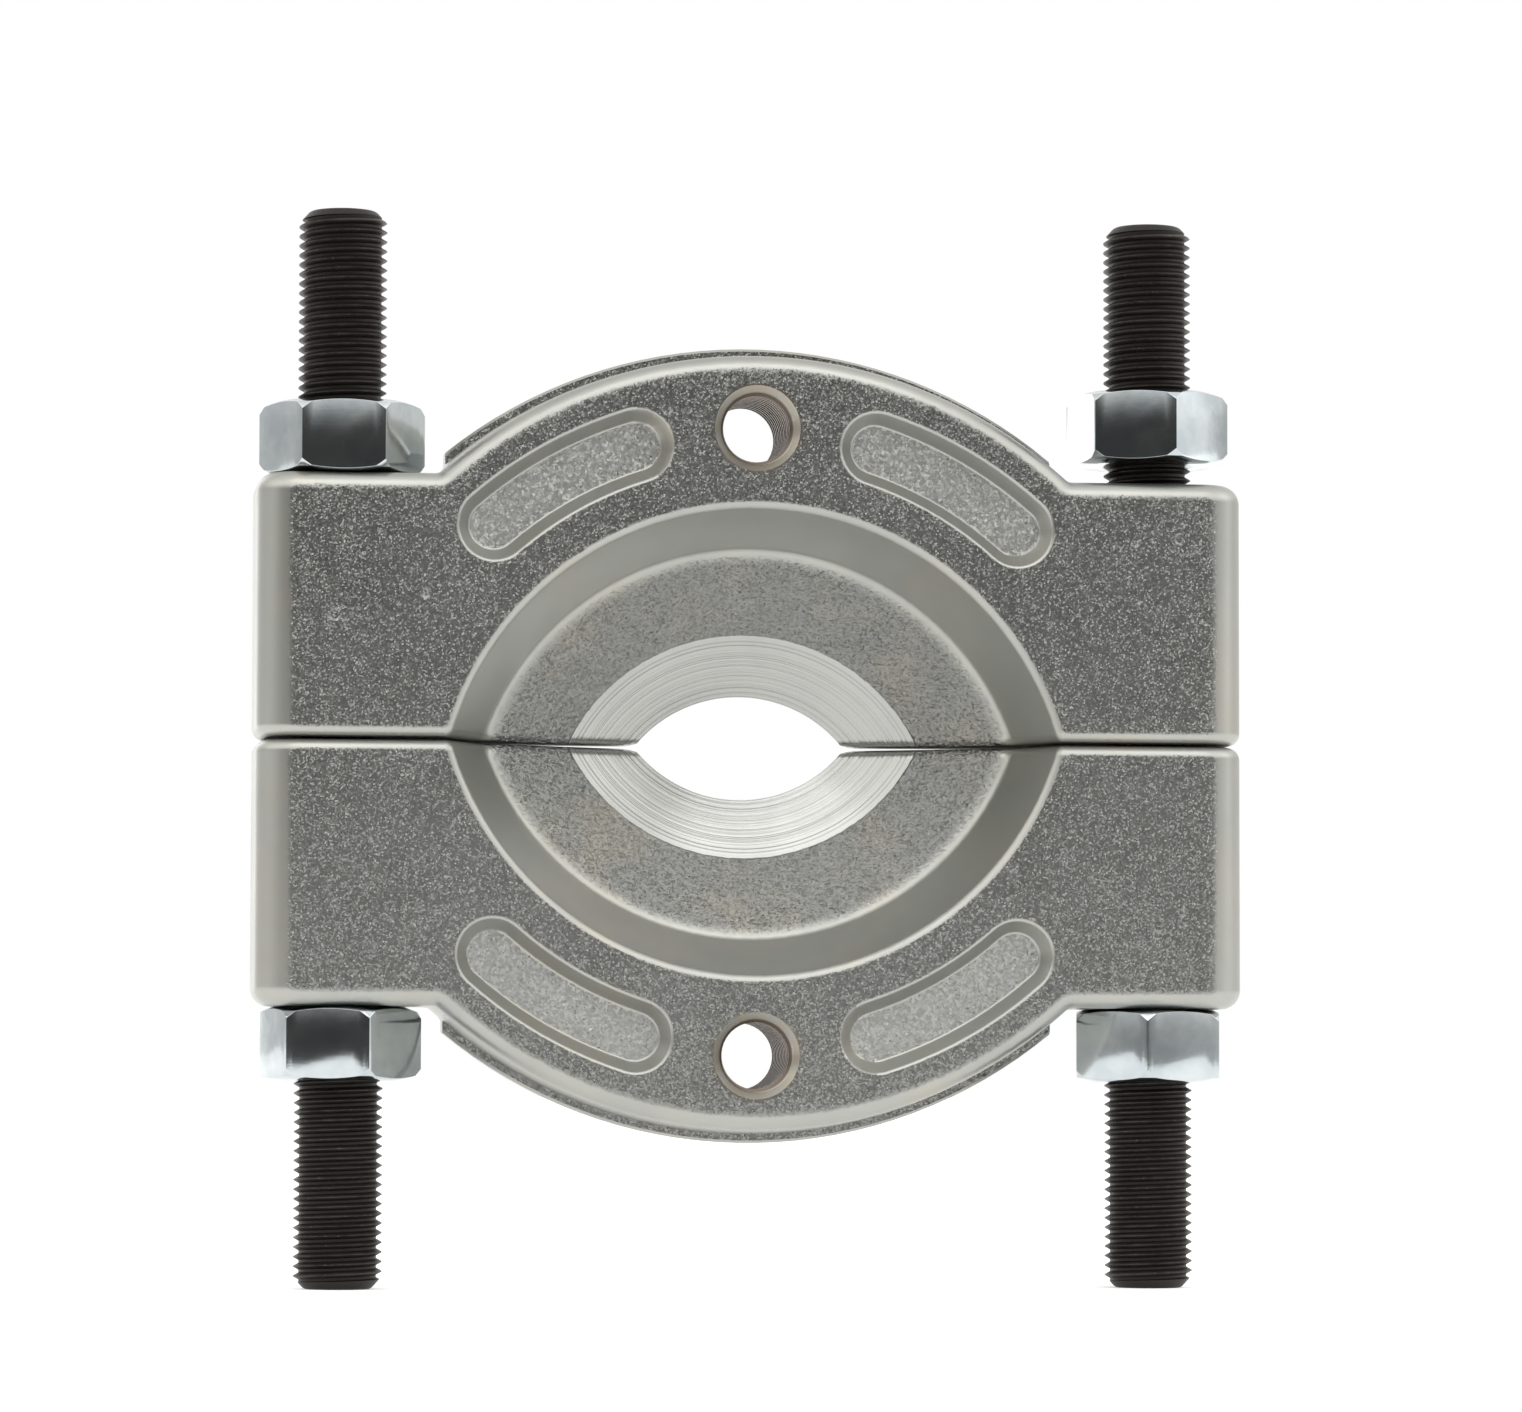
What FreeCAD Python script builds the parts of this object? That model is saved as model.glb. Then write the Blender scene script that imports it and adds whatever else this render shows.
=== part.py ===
import FreeCAD, Part
import math
import os

# Bearing separator, standing upright on the lower ends of its two studs.
# Millimetres. X runs to the right, Y into the plates from the dished front, Z up.
# The origin is midway between the studs, on the plane that their ends stand on. The studs
# stand a little behind the middle of the plates, below the centre of weight.

# Plates
plate_thickness = 23.0
ear_height = 41.5
ear_beyond_stud = 13.75
split_gap = 0.3
end_rounding = 7.0
top_rounding = 3.0
split_rounding = 2.0
corner_radius = 1.6

# Dish that a bearing sits in. Its axis lies beyond the split plane, and it widens
# from the knife edge at the back: turned cone, forged cone, then a steep wall.
axis_beyond_split = 13.5
edge_radius = 21.6
edge_land = 0.3
turned_width = 9.6
turned_angle = 28.45
floor_width = 13.2
floor_angle = 28.6
wall_angle = 30.2
dish_blend = 3.0
mouth_rounding = 2.0
split_land_inset = 2.5

# Recesses either side of each tapped hole, on one circle about the dish's axis
mouth_to_recess = 6.45
recess_half_width = 5.75
recess_floor_half_width = 3.85
recess_depth = 2.6
recess_start = 17.65
recess_end = 41.4
recess_rounding = 0.8
recess_to_rim = 5.95

# Rim, with the ridge left where the forging dies met
rim_draft = 0.6
parting_height = 2.0
parting_width = 3.8
parting_behind_middle = 1.0
parting_edge = 0.4
parting_end_inset = 2.2

# Tapped holes for a puller's bolts
tapped_radius = 5.25
tapped_countersink = 6.8

# Studs and nuts
stud_radius = 6.95
stud_length = 169.6
stud_behind_middle = 0.8
split_above_middle = 1.0
stud_point_length = 1.9
stud_point_radius = 5.2
stud_clearance = 0.55
hole_edge = 0.6
thread_clearance = 0.05
nut_across_flats = 22.6
nut_height = 11.5
nut_face_radius = 10.4
nut_shoulder_radius = 12.35
nut_shoulder_angle = 20.0
nut_corner_angle = 58.0
nut_bore_edge = 0.6
nut_seat_gap = 0.1
nut_to_corner = 0.9
loose_nut_lift = 3.5

# Turn of each nut about its stud, in degrees clockwise from above, from a flat facing the front
upper_left_turn = 2.2
upper_right_turn = 19.8
lower_left_turn = 12.2
lower_right_turn = 41.0

# Radii about the dish's axis, and depths from the front face
turned_radius = edge_radius + turned_width
turned_depth = plate_thickness - edge_land - turned_width * math.tan(math.radians(turned_angle))
dish_foot_radius = turned_radius + floor_width
dish_foot_depth = turned_depth - floor_width * math.tan(math.radians(floor_angle))
mouth_radius = dish_foot_radius + dish_foot_depth * math.tan(math.radians(wall_angle))
recess_path_radius = mouth_radius + mouth_to_recess + recess_half_width
rim_radius = recess_path_radius + recess_half_width + recess_to_rim
parting_radius = rim_radius + parting_height
parting_depth = plate_thickness / 2 + parting_behind_middle - parting_width / 2
tapped_height = recess_path_radius - axis_beyond_split

# Corner where the ear's top meets the rim, and the stud just clear of it
corner_reach = rim_radius + corner_radius
corner_rise = ear_height + corner_radius + axis_beyond_split
corner_x = math.sqrt(corner_reach ** 2 - corner_rise ** 2)
nut_corner_radius = nut_across_flats / math.sqrt(3)
stud_x = corner_x + nut_to_corner + nut_corner_radius
ear_half_width = stud_x + ear_beyond_stud
parting_half_length = corner_x - parting_end_inset
split_land_half_width = math.sqrt(mouth_radius ** 2 - axis_beyond_split ** 2) - split_land_inset

front = -plate_thickness / 2 - stud_behind_middle
back = front + plate_thickness
split_height = stud_length / 2 + split_above_middle
overshoot = 1.0
beyond_all = 2 * rim_radius
near = 0.1


def at(x, y, z):
    return FreeCAD.Vector(x, y, z)


def slab(x_half, y_half, z_low, z_high):
    """Box centred on the Z axis."""
    box = Part.makeBox(2 * x_half, 2 * y_half, z_high - z_low)
    box.translate(at(-x_half, -y_half, z_low))
    return box


def turned(profile):
    """Solid of revolution about the concentric axis, from points of radius and depth."""
    points = [at(radius, front + depth, -axis_beyond_split) for radius, depth in profile]
    face = Part.Face(Part.makePolygon(points + points[:1]))
    return face.revolve(at(0, 0, -axis_beyond_split), at(0, 1, 0), 360)


def round_edges(shape, radius, test):
    """Fillet the edges that pass the test."""
    return shape.makeFillet(radius, [edge for edge in shape.Edges if test(edge)])


def flat_at(edge, depth):
    """Whether an edge lies in the plane at that depth from the front face."""
    box = edge.BoundBox
    return box.YLength < near and abs(box.YMin - front - depth) < near


def radius_about_axis(x, z):
    return math.hypot(x, z + axis_beyond_split)


def plate_outline():
    """Front outline of a half: two ears joined by the rim arc, split plane at Z 0."""
    meet_x = corner_x * rim_radius / corner_reach
    meet_z = corner_rise * rim_radius / corner_reach - axis_beyond_split
    slant = math.atan2(corner_rise, corner_x)
    middle = (slant + math.pi / 2) / 2
    inner_x = corner_x - corner_radius * math.cos(middle)
    inner_z = ear_height + corner_radius - corner_radius * math.sin(middle)
    top_z = rim_radius - axis_beyond_split
    edges = [
        Part.makeLine(at(-ear_half_width, 0, 0), at(ear_half_width, 0, 0)),
        Part.makeLine(at(ear_half_width, 0, 0), at(ear_half_width, 0, ear_height)),
        Part.makeLine(at(ear_half_width, 0, ear_height), at(corner_x, 0, ear_height)),
        Part.Arc(at(corner_x, 0, ear_height), at(inner_x, 0, inner_z), at(meet_x, 0, meet_z)).toShape(),
        Part.Arc(at(meet_x, 0, meet_z), at(0, 0, top_z), at(-meet_x, 0, meet_z)).toShape(),
        Part.Arc(at(-meet_x, 0, meet_z), at(-inner_x, 0, inner_z), at(-corner_x, 0, ear_height)).toShape(),
        Part.makeLine(at(-corner_x, 0, ear_height), at(-ear_half_width, 0, ear_height)),
        Part.makeLine(at(-ear_half_width, 0, ear_height), at(-ear_half_width, 0, 0)),
    ]
    return Part.Wire(edges)


def forged_plate():
    """The outline at full thickness, with forged roundings; sharp only at the middle of the split."""
    plate = Part.Face(plate_outline()).extrude(at(0, plate_thickness, 0))
    plate.translate(at(0, front, 0))

    def at_ear_end(edge):
        box = edge.BoundBox
        return box.ZLength > ear_height - near and abs(box.XMin) > ear_half_width - near

    def along_top(edge):
        box = edge.BoundBox
        across = box.YLength > plate_thickness - near
        return box.ZMin > split_rounding and not across

    def at_split(edge):
        return edge.BoundBox.ZMax < near

    plate = round_edges(plate, end_rounding, at_ear_end)
    plate = round_edges(plate, top_rounding, along_top)
    rounded = round_edges(plate, split_rounding, at_split)
    middle = plate.common(slab(split_land_half_width, plate_thickness, 0, beyond_all))
    return rounded.fuse(middle).removeSplitter()


def parting_band():
    """Drafted rim wall with the thin ridge left where the forging dies met."""
    foot = rim_radius - 2 * top_rounding
    wall = rim_radius + rim_draft
    band_back = parting_depth + parting_width
    profile = [
        (foot, top_rounding),
        (rim_radius, top_rounding),
        (wall, parting_depth),
        (parting_radius - parting_edge, parting_depth),
        (parting_radius, parting_depth + parting_edge),
        (parting_radius, band_back - parting_edge),
        (parting_radius - parting_edge, band_back),
        (wall, band_back),
        (rim_radius, plate_thickness - top_rounding),
        (foot, plate_thickness - top_rounding),
    ]
    return turned(profile).common(slab(parting_half_length, plate_thickness, split_rounding, beyond_all))


def dish():
    """Space of the dish: wall, forged cone, turned cone, and the hole inside the knife edge."""
    flare = math.tan(math.radians(wall_angle)) * overshoot
    return turned([
        (0, -overshoot),
        (mouth_radius + flare, -overshoot),
        (dish_foot_radius, dish_foot_depth),
        (turned_radius, turned_depth),
        (edge_radius, plate_thickness - edge_land),
        (edge_radius, plate_thickness + overshoot),
        (0, plate_thickness + overshoot),
    ])


def recess(side):
    """Kidney-shaped recess with drafted walls, on one side of the tapped hole."""
    slope = (recess_half_width - recess_floor_half_width) / recess_depth
    wide = recess_half_width + slope * overshoot
    section = [
        (recess_path_radius - wide, -overshoot),
        (recess_path_radius + wide, -overshoot),
        (recess_path_radius + recess_floor_half_width, recess_depth),
        (recess_path_radius - recess_floor_half_width, recess_depth),
    ]
    points = [at(0, front + depth, radius - axis_beyond_split) for radius, depth in section]
    face = Part.Face(Part.makePolygon(points + points[:1]))
    centre = at(0, 0, -axis_beyond_split)
    face.rotate(centre, at(0, 1, 0), side * recess_start)
    solid = face.revolve(centre, at(0, 1, 0), side * (recess_end - recess_start))
    for angle in (recess_start, recess_end):
        end = Part.makeCone(
            wide, recess_floor_half_width, recess_depth + overshoot,
            at(0, front - overshoot, recess_path_radius - axis_beyond_split), at(0, 1, 0))
        end.rotate(centre, at(0, 1, 0), side * angle)
        solid = solid.fuse(end)
    return solid.removeSplitter()


def tapped_hole():
    """Bore for the thread, countersunk at both faces."""
    sink = tapped_countersink - tapped_radius
    hole = Part.makeCylinder(
        tapped_radius, plate_thickness + 2 * overshoot, at(0, front - overshoot, tapped_height), at(0, 1, 0))
    for y, way in ((front, 1), (back, -1)):
        mouth = Part.makeCone(
            tapped_countersink + overshoot, tapped_radius, sink + overshoot,
            at(0, y - way * overshoot, tapped_height), at(0, way, 0))
        hole = hole.fuse(mouth)
    return hole


def stud_hole(side):
    """Clearance hole through an ear, with broken edges."""
    radius = stud_radius + stud_clearance
    x = side * stud_x
    hole = Part.makeCylinder(radius, ear_height + 2 * overshoot, at(x, 0, -overshoot))
    for z, way in ((0, 1), (ear_height, -1)):
        mouth = Part.makeCone(
            radius + hole_edge + overshoot, radius, hole_edge + overshoot,
            at(x, 0, z - way * overshoot), at(0, 0, way))
        hole = hole.fuse(mouth)
    return hole


def half_plate():
    """One half, split plane at Z 0 and the rim upwards."""
    plate = forged_plate().fuse(parting_band()).removeSplitter()
    plate = plate.cut(dish())

    def at_dish_foot(edge):
        top = dish_foot_radius - axis_beyond_split
        return flat_at(edge, dish_foot_depth) and abs(edge.BoundBox.ZMax - top) < near

    def at_mouth(edge):
        top = mouth_radius - axis_beyond_split
        return flat_at(edge, 0) and abs(edge.BoundBox.ZMax - top) < near

    def at_recess(edge):
        if not (flat_at(edge, 0) or flat_at(edge, recess_depth)):
            return False
        off_path = [abs(radius_about_axis(v.X, v.Z) - recess_path_radius) for v in edge.Vertexes]
        return max(off_path) < recess_half_width + near

    plate = round_edges(plate, dish_blend, at_dish_foot)
    plate = round_edges(plate, mouth_rounding, at_mouth)
    for side in (-1, 1):
        plate = plate.cut(recess(side))
    plate = round_edges(plate, recess_rounding, at_recess)
    plate = plate.cut(tapped_hole())
    for side in (-1, 1):
        plate = plate.cut(stud_hole(side))
    return plate.Solids[0]


def stud(side):
    """Stud with a turned point at each end."""
    x = side * stud_x
    points = [
        at(x, 0, 0),
        at(x + stud_point_radius, 0, 0),
        at(x + stud_radius, 0, stud_point_length),
        at(x + stud_radius, 0, stud_length - stud_point_length),
        at(x + stud_point_radius, 0, stud_length),
        at(x, 0, stud_length),
    ]
    face = Part.Face(Part.makePolygon(points + points[:1]))
    return face.revolve(at(x, 0, 0), at(0, 0, 1), 360).Solids[0]


def nut(side, seat, way, turn):
    """Hexagon nut on a stud, bearing face at the seat height and the body away from it."""
    x = side * stud_x
    corner = nut_corner_radius
    shoulder = (nut_shoulder_radius - nut_face_radius) * math.tan(math.radians(nut_shoulder_angle))
    bevel = shoulder + (corner - nut_shoulder_radius) * math.tan(math.radians(nut_corner_angle))
    bore = stud_radius + thread_clearance
    points = []
    for index in range(6):
        angle = math.radians(60 * index - turn)
        points.append(at(x + corner * math.cos(angle), corner * math.sin(angle), 0))
    prism = Part.Face(Part.makePolygon(points + points[:1])).extrude(at(0, 0, nut_height))
    profile = [
        (bore, nut_bore_edge),
        (bore + nut_bore_edge, 0),
        (nut_face_radius, 0),
        (nut_shoulder_radius, shoulder),
        (corner, bevel),
        (corner, nut_height - bevel),
        (nut_shoulder_radius, nut_height - shoulder),
        (nut_face_radius, nut_height),
        (bore + nut_bore_edge, nut_height),
        (bore, nut_height - nut_bore_edge),
    ]
    section = Part.Face(Part.makePolygon([at(x + r, 0, z) for r, z in profile + profile[:1]]))
    body = prism.common(section.revolve(at(x, 0, 0), at(0, 0, 1), 360))
    low = seat if way > 0 else seat - nut_height
    body.translate(at(0, 0, low))
    return body.Solids[0]


def build():
    half = half_plate()
    upper = half.copy()
    upper.translate(at(0, 0, split_height + split_gap / 2))
    lower = half.copy()
    lower.rotate(at(0, 0, 0), at(0, 1, 0), 180)
    lower.translate(at(0, 0, split_height - split_gap / 2))
    seat = split_gap / 2 + ear_height + nut_seat_gap
    top_seat = split_height + seat
    bottom_seat = split_height - seat
    return {
        "upper_half": upper,
        "lower_half": lower,
        "left_stud": stud(-1),
        "right_stud": stud(1),
        "upper_left_nut": nut(-1, top_seat, 1, upper_left_turn),
        "upper_right_nut": nut(1, top_seat + loose_nut_lift, 1, upper_right_turn),
        "lower_left_nut": nut(-1, bottom_seat, -1, lower_left_turn),
        "lower_right_nut": nut(1, bottom_seat, -1, lower_right_turn),
    }


os.makedirs("parts", exist_ok=True)
for node, shape in build().items():
    shape.exportStep("parts/" + node + ".step")
    print(node, "valid", shape.isValid(), "volume", round(shape.Volume, 1))
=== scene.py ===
# %% [markdown]
# # A bearing separator, modelled and finished for one photograph
# Two forged, zinc-plated half-plates are clamped round a bearing by nuts on two black
# threaded studs. The solids of the halves, studs and nuts come in as a fixed frame, in metres,
# with +X to the right, +Y into the plates from their dished front and +Z up the studs.
# This lesson adds what plain solids lack: cut threads, broken edges on the nuts, and metal
# that looks forged, turned, plated or blackened.

# %% The frame
import math

import bpy
from mathutils import Matrix, Vector


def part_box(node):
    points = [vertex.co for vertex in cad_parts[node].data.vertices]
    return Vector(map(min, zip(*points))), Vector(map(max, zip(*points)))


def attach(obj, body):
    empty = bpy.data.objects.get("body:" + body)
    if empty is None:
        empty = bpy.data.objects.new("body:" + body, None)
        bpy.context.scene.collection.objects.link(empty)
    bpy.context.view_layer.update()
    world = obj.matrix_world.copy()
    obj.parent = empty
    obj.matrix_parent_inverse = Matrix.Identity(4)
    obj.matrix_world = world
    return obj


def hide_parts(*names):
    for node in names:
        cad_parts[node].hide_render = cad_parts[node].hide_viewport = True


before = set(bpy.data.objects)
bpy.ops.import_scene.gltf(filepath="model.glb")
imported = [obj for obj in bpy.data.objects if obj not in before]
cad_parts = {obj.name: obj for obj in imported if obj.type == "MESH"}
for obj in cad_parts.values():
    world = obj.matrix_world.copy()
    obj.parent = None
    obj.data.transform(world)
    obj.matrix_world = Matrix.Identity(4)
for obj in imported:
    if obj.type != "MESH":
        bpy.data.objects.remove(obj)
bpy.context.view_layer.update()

mm = 0.001
print("frame loaded:", sorted(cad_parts))

# %% [markdown]
# ## Sizes that the metalwork shares
# The halves meet at the split height. Their dish is turned about an axis beyond the split
# plane, so each half's arcs are drawn about a centre in the other half. The sizes that can
# be read from the frame are read from it, so that new pieces sit exactly on the old ones.

# %% Sizes
half_gap = 0.15 * mm
axis_beyond_split = 13.5 * mm
plate_low, plate_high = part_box("upper_half")
split_height = plate_low.z - half_gap
front = plate_low.y
back = plate_high.y
stud_low, stud_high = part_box("right_stud")
stud_x = (stud_low.x + stud_high.x) / 2
stud_radius = (stud_high.x - stud_low.x) / 2
stud_length = stud_high.z - stud_low.z
print("plates from", round(front / mm, 2), "to", round(back / mm, 2), "mm; studs at", round(stud_x / mm, 2))

# %% [markdown]
# ## Working by hand, in code
# Every operator acts on what is selected, and the frame's own pieces arrive selected, so
# each piece starts from an empty selection. These helpers select one object, pick faces or
# edges by a test on their place, and apply a modifier, which is what a modeller's hands do.

# %% Helpers for hand work
def select_only(piece):
    bpy.ops.object.select_all(action="DESELECT")
    piece.select_set(True)
    bpy.context.view_layer.objects.active = piece


def edit(piece):
    select_only(piece)
    bpy.ops.object.mode_set(mode="EDIT")
    bpy.ops.mesh.select_mode(type="VERT")


def leave_edit():
    bpy.ops.object.mode_set(mode="OBJECT")


def select_faces(piece, test):
    """In edit mode, selects the faces whose centre and normal pass the test."""
    bpy.ops.mesh.select_all(action="DESELECT")
    leave_edit()
    for face in piece.data.polygons:
        face.select = test(face.center, face.normal)
    bpy.ops.object.mode_set(mode="EDIT")
    bpy.ops.mesh.select_mode(type="FACE")


def apply_modifier(piece, name, kind, **settings):
    select_only(piece)
    modifier = piece.modifiers.new(name, kind)
    for key, value in settings.items():
        setattr(modifier, key, value)
    bpy.ops.object.modifier_apply(modifier=modifier.name)


def cut(piece, tool, operation="DIFFERENCE"):
    """Boolean with a tool that is then thrown away."""
    apply_modifier(piece, operation.lower(), "BOOLEAN", object=tool, operation=operation, solver="EXACT")
    bpy.data.objects.remove(tool)


def freeze(piece):
    """Puts the object's place and turn into its mesh."""
    select_only(piece)
    bpy.ops.object.transform_apply(location=True, rotation=True, scale=True)


def report(piece):
    size = piece.dimensions / mm
    print(piece.name, len(piece.data.polygons), "faces,", [round(v, 2) for v in size], "mm")


# %% [markdown]
# ## Turned blanks
# Studs, nuts and the cutters that bore them all start as round bar in a lathe. A blank is a
# cylinder whose two ends are extruded and scaled in steps, which gives a pointed stud, the
# cones that round off a nut's corners, or a bore that flares at both mouths.

# %% A turned blank
def turned_blank(name, radius, steps, low, high, sides):
    """Bar about the Z axis; each step out from the body is the next radius and its length."""
    bpy.ops.object.select_all(action="DESELECT")
    body = high - low - 2 * sum(length for _, length in steps)
    bpy.ops.mesh.primitive_cylinder_add(
        vertices=sides, radius=radius, depth=body, location=(0, 0, (low + high) / 2))
    blank = bpy.context.object
    blank.name = name
    freeze(blank)
    edit(blank)
    for way in (-1, 1):
        select_faces(blank, lambda centre, normal: normal.z * way > 0.99)
        last = radius
        for end_radius, length in steps:
            narrower = end_radius / last
            bpy.ops.mesh.extrude_region_move(TRANSFORM_OT_translate={"value": (0, 0, way * length)})
            bpy.ops.transform.resize(value=(narrower, narrower, 1), center_override=(0, 0, 0))
            last = end_radius
    leave_edit()
    return blank


# %% [markdown]
# ## Threads
# A thread is one small zigzag carried round and up the bar. The zigzag starts as a plane
# merged to a single point, which is extruded along the flanks of one pitch, and a Screw
# modifier turns it. Real geometry is worth its faces here, because the photograph shows the
# crests against a white background.

# %% A threaded rod
def threaded_rod(name, pitch, root, crest, low, high, steps):
    """Right-hand thread about the Z axis, cut square after whole turns, at or just past high."""
    bpy.ops.object.select_all(action="DESELECT")
    bpy.ops.mesh.primitive_plane_add(size=pitch)
    rod = bpy.context.object
    rod.name = name
    depth = crest - root
    flank = depth * 0.88
    shoulder = depth * 0.12
    sixteenth = pitch / 16
    zigzag = ((0, 3), (flank, 4.6), (shoulder, 0.8), (0, 0.9), (-shoulder, 0.8), (-flank, 4.6), (0, 1.3))
    edit(rod)
    bpy.ops.mesh.select_all(action="SELECT")
    bpy.ops.mesh.merge(type="CENTER")
    bpy.ops.transform.translate(value=(root, 0, low - 2 * pitch))
    for out, up in zigzag:
        bpy.ops.mesh.extrude_vertices_move(TRANSFORM_OT_translate={"value": (out, 0, up * sixteenth)})
    leave_edit()
    whole_turns = math.ceil((high - low) / pitch - 0.01)
    high = low + whole_turns * pitch
    apply_modifier(
        rod, "turns", "SCREW", angle=2 * math.pi, screw_offset=pitch, iterations=whole_turns + 3,
        steps=steps, render_steps=steps, use_smooth_shade=False)
    edit(rod)
    bpy.ops.mesh.select_all(action="SELECT")
    bpy.ops.mesh.remove_doubles(threshold=0.002 * mm)
    clear_of_points = pitch / steps / 2
    for height, way in ((low, -1), (high, 1)):
        bpy.ops.mesh.select_all(action="SELECT")
        bpy.ops.mesh.bisect(
            plane_co=(0, 0, height + clear_of_points), plane_no=(0, 0, way), use_fill=True,
            clear_outer=True)
    bpy.ops.mesh.select_all(action="SELECT")
    bpy.ops.mesh.normals_make_consistent(inside=False)
    leave_edit()
    return rod


# %% [markdown]
# ## The studs
# Each stud is a bar threaded from end to end with a short turned point. The thread is
# intersected with a pointed blank, as if a pointed bar had been threaded, so the crests are
# topped off along the cones and the ends close by themselves.

# %% Stud
stud_pitch = 1.5 * mm
stud_root = 6.08 * mm
point_radius = 5.2 * mm
point_length = 1.9 * mm
point_rounding = 0.45 * mm
crest_above_bar = 0.03 * mm
overrun = 1 * mm


def copy_of(pattern, name):
    """A second piece with a mesh of its own."""
    piece = bpy.data.objects.new(name, pattern.data.copy())
    bpy.context.scene.collection.objects.link(piece)
    return piece


def make_stud():
    stud = threaded_rod(
        "stud", stud_pitch, stud_root, stud_radius + crest_above_bar, -overrun, stud_length + overrun, 48)
    point = [(point_radius, point_length)]
    blank = turned_blank("stud_blank", stud_radius, point, 0, stud_length, 144)
    edit(blank)
    select_faces(blank, lambda centre, normal: abs(normal.z) > 0.99)
    bpy.ops.mesh.bevel(offset=point_rounding, segments=3, affect="EDGES")
    leave_edit()
    cut(stud, blank, "INTERSECT")
    return stud


pattern_stud = make_stud()
studs = []
for node, side in (("left_stud", -1), ("right_stud", 1)):
    stud = copy_of(pattern_stud, node.replace("_stud", "_threaded_stud"))
    stud.location.x = side * stud_x
    freeze(stud)
    bpy.ops.object.shade_smooth_by_angle(angle=math.radians(34))
    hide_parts(node)
    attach(stud, "studs")
    report(stud)
    studs.append(stud)
bpy.data.objects.remove(pattern_stud)

# %% [markdown]
# ## The nuts
# A nut is hexagon bar whose ends are turned to a shallow cone and whose corners are rounded
# off more steeply, and then it is bored. The cones meet the six flats in the curved lines
# that make a nut look like a nut, and only a boolean of the two shapes gives them truly. One
# nut is made and copied, and each copy gets its own turn about its stud, measured from the
# photograph.

# %% One nut
across_flats = 22.6 * mm
nut_height = 11.5 * mm
nut_face_radius = 10.4 * mm
nut_shoulder_radius = 12.35 * mm
shoulder_slope = math.tan(math.radians(20))
corner_slope = math.tan(math.radians(58))
corner_radius = across_flats / math.sqrt(3)
cone_length = 2 * mm
bore_radius = stud_radius + 0.05 * mm
bore_flare = 1.6 * mm
broken_edge = 0.35 * mm


def make_nut():
    bpy.ops.object.select_all(action="DESELECT")
    bpy.ops.mesh.primitive_cylinder_add(
        vertices=6, radius=corner_radius, depth=nut_height, location=(0, 0, nut_height / 2),
        rotation=(0, 0, math.radians(30)))
    nut = bpy.context.object
    freeze(nut)
    shoulder_length = (nut_shoulder_radius - nut_face_radius) * shoulder_slope
    ends = [(nut_shoulder_radius, cone_length), (nut_face_radius, shoulder_length)]
    widest = nut_shoulder_radius + cone_length / corner_slope
    cut(nut, turned_blank("nut_blank", widest, ends, 0, nut_height, 192), "INTERSECT")
    flares = [(bore_radius + bore_flare, bore_flare)]
    cut(nut, turned_blank("nut_bore", bore_radius, flares, -overrun, nut_height + overrun, 96))
    edit(nut)
    bpy.ops.mesh.select_all(action="SELECT")
    bpy.ops.mesh.remove_doubles(threshold=0.005 * mm)
    leave_edit()
    apply_modifier(
        nut, "edges", "BEVEL", width=broken_edge, segments=3, limit_method="ANGLE",
        angle_limit=math.radians(28), use_clamp_overlap=True)
    return nut


pattern_nut = make_nut()
report(pattern_nut)

# %% [markdown]
# ## Four nuts in their places
# The four nuts stand where the frame has them. The lower ones are upside down, which a
# symmetric nut doesn't show, and none of them lines up with another, just as a spanner
# leaves them.

# %% Four nuts
nut_turns = {
    "upper_left_nut": 2.2, "upper_right_nut": 19.8,
    "lower_left_nut": 12.2, "lower_right_nut": 41.0}
nuts = []
for node, turn in nut_turns.items():
    low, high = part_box(node)
    nut = copy_of(pattern_nut, node.replace("_nut", "_hex_nut"))
    nut.rotation_euler.z = math.radians(-turn)
    nut.location = ((low.x + high.x) / 2, 0, low.z)
    freeze(nut)
    bpy.ops.object.shade_smooth_by_angle(angle=math.radians(30))
    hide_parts(node)
    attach(nut, node)
    report(nut)
    nuts.append(nut)
bpy.data.objects.remove(pattern_nut)

# %% [markdown]
# ## The halves, with their puller holes tapped
# The forged shape is right as it stands, so a merged copy of it is kept and only the thread
# of each puller hole is cut, with a threaded rod used as a tap. The rod's root lies inside
# the bore, so nothing but its crests reaches the metal. Normals weighted by area then keep
# the large flats flat right up to their rounded edges.

# %% Tapped halves
tap_pitch = 1.75 * mm
tapped_radius = 5.25 * mm
tapped_height = 49.096 * mm
tap_inside_bore = 0.12 * mm
tap_depth = 0.75 * mm
tap_reach = 14 * mm


def make_half(node, side):
    half = copy_of(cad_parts[node], node.replace("_half", "_tapped_half"))
    edit(half)
    bpy.ops.mesh.select_all(action="SELECT")
    bpy.ops.mesh.remove_doubles(threshold=0.001 * mm)
    leave_edit()
    tap = threaded_rod(
        "tap", tap_pitch, tapped_radius - tap_inside_bore, tapped_radius + tap_depth,
        -tap_reach, tap_reach, 48)
    tap.rotation_euler.x = math.radians(90)
    tap.location.z = split_height + side * (half_gap + tapped_height)
    freeze(tap)
    cut(half, tap)
    select_only(half)
    bpy.ops.mesh.customdata_custom_splitnormals_clear()
    bpy.ops.object.shade_smooth_by_angle(angle=math.radians(22))
    apply_modifier(half, "even_flats", "WEIGHTED_NORMAL", keep_sharp=True, weight=80)
    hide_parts(node)
    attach(half, node)
    report(half)
    return half


halves = [make_half("upper_half", 1), make_half("lower_half", -1)]

# %% [markdown]
# ## Shader maths as sums
# A material is a sum of masks and noises. Wrapping a node's socket in a small class lets the
# sum be written as Python arithmetic, and each operator adds the Math node that does it.

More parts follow.
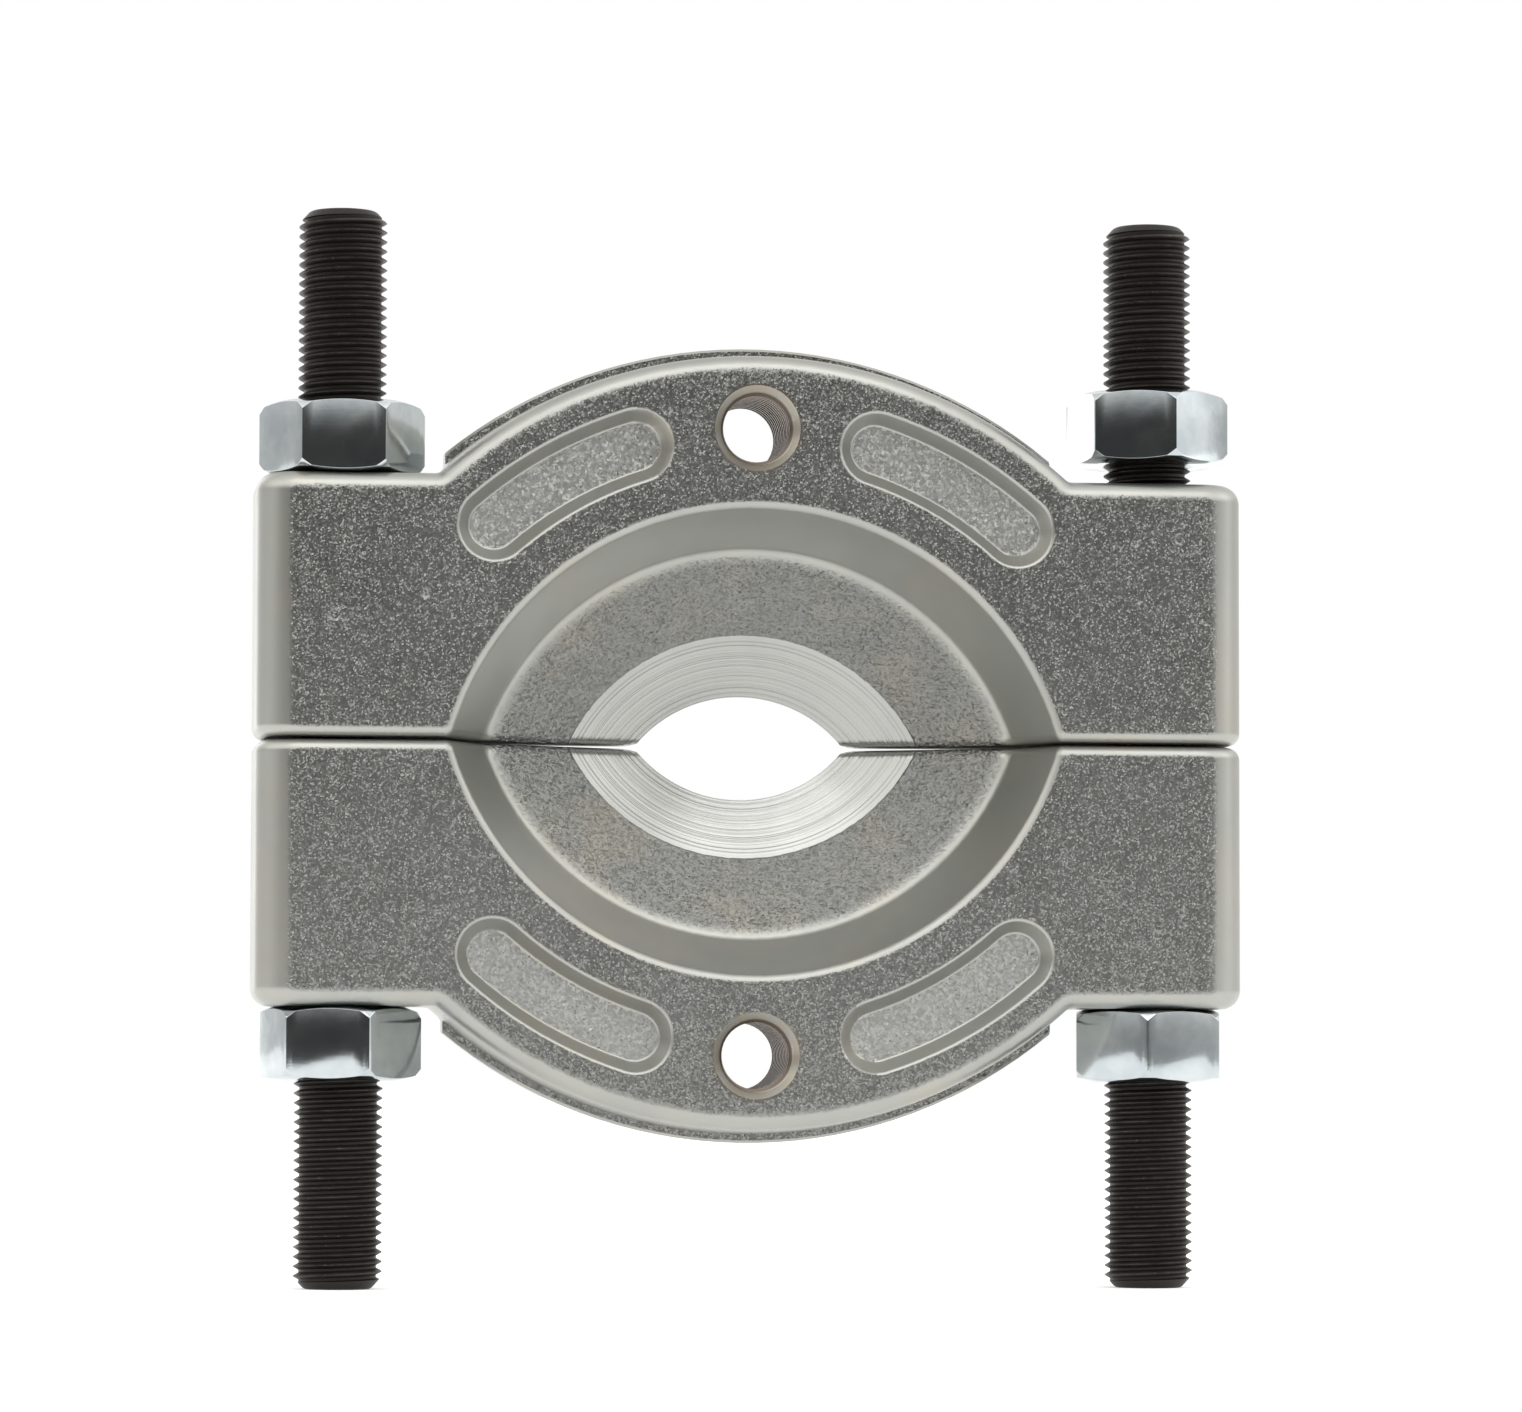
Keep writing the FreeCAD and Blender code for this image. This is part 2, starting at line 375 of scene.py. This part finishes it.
# %% Sockets that do arithmetic
class Sum:
    def __init__(self, tree, socket):
        self.tree = tree
        self.socket = socket

    def math(self, operation, *values):
        return self.tree.node(
            "ShaderNodeMath", {"operation": operation}, dict(enumerate((self, *values))))

    def __add__(self, other):
        return self.math("ADD", other)

    def __sub__(self, other):
        return self.math("SUBTRACT", other)

    def __mul__(self, other):
        return self.math("MULTIPLY", other)

    def __rsub__(self, other):
        return self.tree.node("ShaderNodeMath", {"operation": "SUBTRACT"}, {0: other, 1: self})

    __radd__ = __add__
    __rmul__ = __mul__

    def __abs__(self):
        return self.math("ABSOLUTE")

    def __pow__(self, other):
        return self.math("POWER", other)

    def ramp(self, start, end):
        """0 below start and 1 above end, smoothly; start may be the larger."""
        low, high = min(start, end), max(start, end)
        up = self.tree.node(
            "ShaderNodeMapRange", {"interpolation_type": "SMOOTHSTEP"},
            {"Value": self, "From Min": low, "From Max": high})
        return up if start < end else 1 - up


class Finish:
    """A material, or the world, and its nodes."""

    def __init__(self, name, owner=None):
        self.owner = owner or bpy.data.materials.new(name)
        self.owner.use_nodes = True
        self.nodes = self.owner.node_tree.nodes
        self.links = self.owner.node_tree.links
        self.nodes.clear()

    def node(self, kind, settings=None, sockets=None, output=0):
        made = self.nodes.new(kind)
        for key, value in (settings or {}).items():
            setattr(made, key, value)
        for key, value in (sockets or {}).items():
            if isinstance(value, Sum):
                self.links.new(value.socket, made.inputs[key])
            else:
                made.inputs[key].default_value = value
        return Sum(self, made.outputs[output]) if len(made.outputs) else None

    def place(self, output="Object"):
        return self.node("ShaderNodeTexCoord", output=output)

    def parts(self, vector):
        """A vector's X, Y and Z, each as a sum of its own."""
        made = self.node("ShaderNodeSeparateXYZ", sockets={0: vector}).socket.node
        return [Sum(self, made.outputs[i]) for i in range(3)]

    def vectors(self, operation, *values):
        return self.node("ShaderNodeVectorMath", {"operation": operation}, dict(enumerate(values)))

    def tilted(self, normal, push, amount):
        """The normal leant by a push vector whose middle value is a half."""
        lean = self.node(
            "ShaderNodeVectorMath", {"operation": "SCALE"},
            {0: self.vectors("SUBTRACT", push, (0.5, 0.5, 0.5)), "Scale": amount})
        return self.vectors("NORMALIZE", self.vectors("ADD", normal, lean))

    def noise(self, where, scale, detail=2.0, rough=0.5):
        return self.node(
            "ShaderNodeTexNoise",
            sockets={"Vector": where, "Scale": scale, "Detail": detail, "Roughness": rough})

    def noise_along(self, distance, scale, detail):
        """Noise that changes with one distance only, such as a radius."""
        return self.node(
            "ShaderNodeTexNoise", {"noise_dimensions": "1D"},
            {"W": distance, "Scale": scale, "Detail": detail})

    def rays(self, *kinds):
        """For each kind named, 1 on rays of that kind and 0 on others."""
        path = self.node("ShaderNodeLightPath").socket.node
        return [Sum(self, path.outputs["Is " + kind + " Ray"]) for kind in kinds]

    def mapped(self, where, **sockets):
        return self.node("ShaderNodeMapping", sockets={"Vector": where, **sockets})

    def cells(self, where, scale, output="Distance"):
        return self.node("ShaderNodeTexVoronoi", sockets={"Vector": where, "Scale": scale}, output=output)

    def mix(self, mask, first, second):
        made = self.node("ShaderNodeMix", {"data_type": "RGBA"}).socket.node
        for key, value in ((0, mask), (6, first), (7, second)):
            if isinstance(value, Sum):
                self.links.new(value.socket, made.inputs[key])
            else:
                made.inputs[key].default_value = value
        return Sum(self, made.outputs[2])

    def bump(self, height, distance, under=None):
        sockets = {"Height": height, "Distance": distance, "Strength": 1.0}
        if under is not None:
            sockets["Normal"] = under
        return self.node("ShaderNodeBump", sockets=sockets)

    def metal(self, **sockets):
        """The shader itself, joined to the output."""
        named = {key.replace("_", " "): value for key, value in sockets.items()}
        shader = self.node("ShaderNodeBsdfPrincipled", sockets=named)
        self.node("ShaderNodeOutputMaterial", sockets={"Surface": shader})
        return self.owner


def grey(value, red=1.0, blue=1.0):
    return (value * red, value, value * blue, 1.0)


def dress(pieces, material):
    for piece in pieces:
        piece.data.materials.clear()
        piece.data.materials.append(material)
    print(material.name, "on", [piece.name for piece in pieces])


print("shader helpers ready")

# %% [markdown]
# ## Zinc on a forging
# The halves were forged, shot-blasted and plated. Flat faces keep the grit's grain, which
# tips the surface in every direction, so against the dark room in front they sparkle with
# light from the sides. Bump alone can't tip a mirror far enough, so the normal is also leant
# by the colour of small cells, a few of them strongly. Rounded edges and steep walls were
# drawn smooth by the dies, and the cone at the knife edge was turned afterwards, which left
# rings of hairlines and grooves. The rims of the tapped holes have begun to brown. One
# material finds each zone by its place and by the way it faces: radius about the dish's
# axis, depth from the front, and normal. The flat back and the split faces lie within the
# same radii as the dish, so they are told from it by their normals and keep out of its zones.

# %% Zinc forging
turned_radius = 31.2 * mm
dish_foot_radius = 44.4 * mm
mouth_radius = 50.4 * mm


def zinc_forging():
    f = Finish("zinc_forging")
    spot = f.place()
    x, y, z = f.parts(spot)
    _, ny, nz = f.parts(f.place("Normal"))
    rise = abs(z - split_height)
    across = rise - half_gap + axis_beyond_split
    radius = (x * x + across * across) ** 0.5
    depth = y - front

    # Zones
    jag = (f.noise(spot, 900.0, 2.0) - 0.5) * (0.25 * mm)
    at_split = abs(nz).ramp(0.9, 0.97) * (rise - half_gap).ramp(0.1 * mm, 0.03 * mm)
    from_front = ny.ramp(0.8, 0.5) * (1 - at_split)
    in_dish = radius.ramp(mouth_radius - 0.5 * mm, mouth_radius - 1.5 * mm) * from_front
    turned = (radius + jag).ramp(turned_radius + 0.1 * mm, turned_radius - 0.1 * mm)
    turned = turned * depth.ramp(5 * mm, 9 * mm) * from_front
    facing = abs(ny) + (f.noise(spot, 1500.0, 2.0) - 0.5) * 0.05
    flat = facing.ramp(0.94, 0.99)
    inside_foot = radius.ramp(dish_foot_radius - 0.4 * mm, dish_foot_radius - 2.6 * mm)
    dish_floor = in_dish * inside_foot * (1 - turned)
    recess_depth = depth.ramp(1.4 * mm, 2.2 * mm) * depth.ramp(4.0 * mm, 3.2 * mm)
    in_recess = recess_depth * (1 - in_dish) * flat
    hole_rise = rise - half_gap - tapped_height
    hole_radius = (x * x + hole_rise * hole_rise) ** 0.5
    bored = hole_radius.ramp(tapped_radius + 0.65 * mm, tapped_radius + 0.35 * mm)
    hole_rim = hole_radius.ramp(7.4 * mm, 6.7 * mm)

    # Grain: a fine tooth, crystal facets and coarser pebbles that each lean their own way
    tooth = f.noise(spot, 5200.0, 2.0, 0.6)
    lumps = f.noise(spot, 900.0, 2.0, 0.5)
    swell = f.noise(spot, 150.0, 3.0, 0.55)
    coarse = (flat + dish_floor) * (1 - hole_rim * 0.8) * (1 - turned)
    fine = in_recess * 0.5
    grain = coarse * (1 - in_recess * 0.65)
    facets = f.cells(spot, 4400.0, "Color")
    pebbles = f.cells(spot, 2300.0, "Color")
    pick = f.parts(facets)[0]
    lean = (pick ** 6.0) * (0.8 + 1.2 * swell.ramp(0.35, 0.7)) + 0.16
    satin_height = f.noise(spot, 2600.0, 2.0, 0.5) * (1 - turned)

    # Dents from tumbling with other forgings
    dented = f.noise(spot, 60.0, 2.0, 0.5).ramp(0.5, 0.62) * coarse
    dents = f.cells(spot, 210.0).ramp(0.24, 0.12) * dented
    scuffed = f.noise(spot, 35.0, 2.0, 0.5).ramp(0.48, 0.6) * coarse
    scuffs = f.noise(spot, 420.0, 3.0, 0.7).ramp(0.62, 0.72) * scuffed

    # Turning marks
    hairlines = f.noise_along(radius, 5200.0, 4.0)
    grooves = f.noise_along(radius, 2300.0, 2.0)
    waves = f.noise_along(radius, 900.0, 1.0)
    ring_height = (hairlines * 0.7 + grooves * 1.4 + waves * 1.2) * turned

    # Colours
    tone = f.noise(spot, 45.0, 3.0, 0.6)
    plate = f.mix(flat, grey(0.45, 0.99, 0.94), grey(0.28, 0.99, 0.96))
    plate = f.mix(dish_floor, plate, grey(0.34, 0.99, 0.96))
    plate = f.mix(in_recess, plate, grey(0.42, 0.99, 0.96))
    plate = f.mix(turned, plate, grey(0.44, 0.99, 0.96))
    plate = f.mix(turned * grooves.ramp(0.5, 0.7) * 0.5, plate, grey(0.28, 0.99, 0.97))
    plate = f.mix(tone.ramp(0.35, 0.7) * 0.25, plate, grey(0.30, 1.0, 1.0))
    # A brownish tint in random patches on every face that is neither flat nor turned
    brown_patches = f.noise(spot, 60.0, 3.0, 0.6).ramp(0.45, 0.75) * (1 - flat) * (1 - turned)
    plate = f.mix(brown_patches * 0.4, plate, (0.50, 0.45, 0.36, 1.0))
    rust = hole_rim * f.noise(spot, 250.0, 3.0, 0.6).ramp(0.3, 0.6)
    plate = f.mix(rust * 0.5, plate, (0.46, 0.38, 0.27, 1.0))
    plate = f.mix(bored * 0.9, plate, (0.13, 0.10, 0.08, 1.0))

    # Roughness and relief, from the finest to the coarsest
    rough = 0.26 + 0.08 * tone + 0.08 * (1 - flat) + 0.04 * dish_floor
    rough = rough + 0.12 * in_recess - 0.13 * turned
    scale_skin = f.noise(f.mapped(spot, Scale=(0.7, 1.0, 1.3)), 1500.0, 3.0, 0.6)
    relief = lumps * grain * 0.6 + scale_skin * dish_floor * 10.0 - dents * 2.0 - scuffs * 0.8
    normal = f.bump(tooth * grain, 0.02 * mm)
    normal = f.bump(relief, 0.05 * mm, under=normal)
    normal = f.bump(satin_height, 0.006 * mm, under=normal)
    normal = f.bump(ring_height, 0.03 * mm, under=normal)
    normal = f.tilted(normal, facets, lean * (grain + fine))
    normal = f.tilted(normal, pebbles, dish_floor * 0.5 + in_recess * 0.4 + grain * 0.14)
    return f.metal(Base_Color=plate, Metallic=1.0, Roughness=rough, Normal=normal)


dress(halves, zinc_forging())

# %% [markdown]
# ## Zinc on the nuts
# The nuts are bright zinc with a cold blue cast. Barrel plating knocks them together, so
# their flats carry small dents and scratches in every direction.

# %% Zinc nut
def zinc_nut():
    f = Finish("zinc_nut")
    spot = f.place()
    dull = f.noise(spot, 160.0, 4.0, 0.6)
    knocks = f.noise(spot, 700.0, 4.0, 0.65)
    drawn_out = f.mapped(spot, Rotation=(0.4, 0.5, 0.7), Scale=(90.0, 900.0, 900.0))
    scratches = f.noise(drawn_out, 1.5, 3.0, 0.6)
    colour = f.mix(dull.ramp(0.3, 0.7), (0.48, 0.53, 0.56, 1.0), (0.60, 0.64, 0.65, 1.0))
    height = knocks * 0.6 + scratches * 0.4
    rough = 0.07 + 0.08 * dull
    return f.metal(
        Base_Color=colour, Metallic=1.0, Roughness=rough, Normal=f.bump(height, 0.006 * mm))


dress(nuts, zinc_nut())

# %% [markdown]
# ## Black oxide on the studs
# The studs are blackened and oiled, brown-black rather than pure black. Handling polishes
# the crests, so the colour is lighter where the radius about the stud's own axis is
# greatest.

# %% Black stud
def black_stud():
    f = Finish("black_stud")
    spot = f.place()
    x, y, _ = f.parts(spot)
    beside = abs(x) - stud_x
    radius = (beside * beside + y * y) ** 0.5
    crest = radius.ramp(stud_radius - 0.5 * mm, stud_radius)
    patch = f.noise(spot, 220.0, 4.0, 0.6)
    fleck = f.noise(spot, 2200.0, 2.0, 0.5).ramp(0.62, 0.78)
    wear = crest * patch.ramp(0.3, 0.7)
    colour = f.mix(wear * 0.6, (0.022, 0.018, 0.016, 1.0), (0.10, 0.085, 0.075, 1.0))
    colour = f.mix(fleck * crest * 0.5, colour, (0.30, 0.27, 0.25, 1.0))
    rough = 0.42 - 0.1 * wear + 0.1 * patch
    return f.metal(
        Base_Color=colour, Metallic=0.55, Roughness=rough,
        Normal=f.bump(f.noise(spot, 1800.0, 3.0, 0.6), 0.03 * mm))


dress(studs, black_stud())

# %% [markdown]
# ## Floor
# The object stands on a pale sweep of paper, whose near edge lies a forearm's length before
# it, so that the front flats mirror the dark of the room and not the paper. The paper is
# lifted to white by a little light of its own, which the lens and the bright metal see and
# the shadows don't, so it still darkens under the studs.

# %% Floor
paper_size = 30.0
near_edge = -0.45
bpy.ops.object.select_all(action="DESELECT")
bpy.ops.mesh.primitive_plane_add(size=paper_size, location=(0, near_edge + paper_size / 2, 0))
floor = bpy.context.object
floor.name = "floor"
freeze(floor)


def paper():
    f = Finish("paper")
    diffuse = f.node("ShaderNodeBsdfDiffuse", sockets={"Color": grey(0.82)})
    seen = sum(f.rays("Camera", "Transmission", "Glossy"))
    lift = f.node("ShaderNodeEmission", sockets={"Color": grey(1.0), "Strength": seen * 0.35})
    both = f.node("ShaderNodeAddShader", sockets={0: diffuse, 1: lift})
    f.node("ShaderNodeOutputMaterial", sockets={"Surface": both})
    return f.owner


floor.data.materials.append(paper())
print("floor laid")

# %% [markdown]
# ## The room's light
# The photograph was taken in a white tent with the camera in its dark opening: faces square
# to the camera mirror the dark, and everything turned away from it mirrors white cloth. The
# levels were read from the nuts, whose flats face many ways. The opening is wide and low,
# and the roof is brightest where the lower half of the dish looks. The world gives each
# direction its brightness, and the camera itself sees plain white behind. Three soft boxes
# add highlights to rounded edges.

# %% Light tent
def light_tent():
    f = Finish("tent", bpy.context.scene.world or bpy.data.worlds.new("tent"))
    bpy.context.scene.world = f.owner
    x, y, z = f.parts(f.place("Generated"))
    toward_camera = x * -0.17 - y * 0.985
    opening = toward_camera.ramp(0.35, 0.85) * z.ramp(-0.75, -0.35) * z.ramp(0.5, 0.15)
    roof = z.ramp(0.1, 0.45) * (1 - z.ramp(0.55, 0.9) * 0.45) * (1 - y.ramp(-0.1, 0.7) * 0.75)
    cloth = 0.5 + x.ramp(0.2, 0.95) * 0.16 + roof * 1.2 + y.ramp(0.2, 0.9) * 0.3
    level = cloth * (1 - opening * 0.88)
    straight, mirrored, through = f.rays("Camera", "Glossy", "Transmission")
    behind = y.ramp(0.75, 0.9)
    seen = straight + through + mirrored * behind
    light = f.node("ShaderNodeBackground", sockets={"Color": (1.0, 0.99, 0.965, 1.0), "Strength": level})
    white = f.node("ShaderNodeBackground", sockets={"Color": grey(1.0), "Strength": 1.0})
    both = f.node("ShaderNodeMixShader", sockets={0: seen, 1: light, 2: white})
    f.node("ShaderNodeOutputWorld", sockets={"Surface": both})


light_tent()


def soft_box(name, place, aim, width, height, power):
    bpy.ops.object.select_all(action="DESELECT")
    bpy.ops.object.light_add(type="AREA", location=place)
    lamp = bpy.context.object
    lamp.name = name
    lamp.data.shape = "RECTANGLE"
    lamp.data.size = width
    lamp.data.size_y = height
    lamp.data.energy = power
    lamp.rotation_euler = (Vector(aim) - Vector(place)).to_track_quat("-Z", "Y").to_euler()
    lamp.visible_camera = False


middle = (0, 0, split_height)
soft_box("top_box", (0, -0.6, 1.0), middle, 1.0, 0.35, 1.5)
soft_box("left_box", (-0.5, 0.95, 0.3), middle, 0.35, 0.8, 1.2)
soft_box("right_box", (1.0, -0.1, 0.4), middle, 0.3, 0.8, 0.4)
print("tent lit")

# %% [markdown]
# ## The camera
# The plates show that the camera stood low and a little to the left, looking slightly up
# and to the right, through a long lens about a metre away.

# %% Camera
camera_place = (-129.0 * mm, -990.8 * mm, 31.0 * mm)
yaw = math.radians(7.543)
pitch = math.radians(3.495)
roll = math.radians(0.12)
bpy.ops.object.select_all(action="DESELECT")
bpy.ops.object.camera_add(location=camera_place)
camera = bpy.context.object
turned_right = Matrix.Rotation(-yaw, 4, "Z")
tipped_up = Matrix.Rotation(math.pi / 2 + pitch, 4, "X")
leant_over = Matrix.Rotation(roll, 4, "Z")
camera.rotation_euler = (turned_right @ tipped_up @ leant_over).to_euler()
camera.data.sensor_width = 36.0
camera.data.lens = 149.25
camera.data.clip_start = 0.05
camera.data.clip_end = 100.0
bpy.context.scene.camera = camera
bpy.context.scene.view_settings.view_transform = "Standard"
print("camera at", [round(v / mm) for v in camera_place], "mm")
